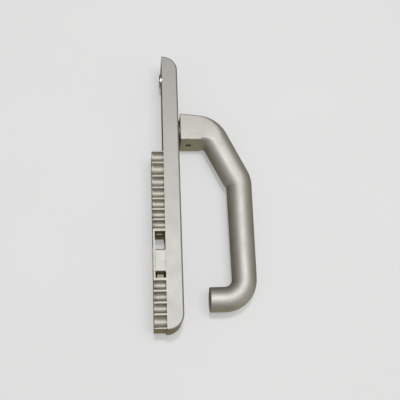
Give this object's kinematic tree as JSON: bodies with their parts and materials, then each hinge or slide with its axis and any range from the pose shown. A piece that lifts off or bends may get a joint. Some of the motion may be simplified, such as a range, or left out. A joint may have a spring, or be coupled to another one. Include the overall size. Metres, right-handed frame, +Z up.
{
  "type": "door lever on backplate",
  "caption": "Narrow door handle: a bent lever on a long backplate turns a pinion that drives a rack and carriage in a ribbed housing behind the plate.",
  "frame": {"origin": "on the lever's turning axis, in the plane of the plate's back face that lies on the door", "axes": "+X out of the door towards the hand, +Z up along the plate, +Y across the plate"},
  "size_m": [0.0824, 0.028, 0.232],
  "materials": {
    "cast_alloy": "smooth satin silver coat on die-cast alloy",
    "plated_steel": "bright zinc plated",
    "black_steel": "blackened",
    "acetal": "natural white moulded",
    "rubber": "moulded black",
    "brass": "turned"
  },
  "bodies": {
    "base": {"backplate": "cast_alloy", "bearing_bush": "acetal", "thrust_washer": "plated_steel", "mechanism_cover": "plated_steel", "cover_screws": "plated_steel", "rack_guide": "acetal", "upper_fixing_insert": "plated_steel", "lower_fixing_insert": "plated_steel", "gear_housing": "cast_alloy", "housing_screws": "plated_steel", "upper_buffer": "rubber", "lower_buffer": "rubber"},
    "lever": {"lever_handle": "cast_alloy", "square_spindle": "plated_steel", "spindle_grub_screw": "black_steel", "pinion": "plated_steel", "retaining_ring": "black_steel", "spring_washer": "plated_steel"},
    "slider": {"rack_bar": "plated_steel", "driver_carriage": "cast_alloy", "carriage_screws": "plated_steel", "driver_bush": "brass", "slide_pad_upper": "acetal", "slide_pad_lower": "acetal"}
  },
  "joints": [
    {"name": "lever_turn", "type": "hinge", "parent": "base", "child": "lever", "pos_m": [0, 0, 0], "axis": [-1, 0, 0], "range_deg": [0, 90]},
    {"name": "carriage_slide", "type": "slide", "parent": "base", "child": "slider", "axis": [0, 0, 1], "range_m": [0, 0.0127]}
  ],
  "couplings": [
    {"joint": "carriage_slide", "follows": "lever_turn", "m_per_rad": 0.008}
  ]
}
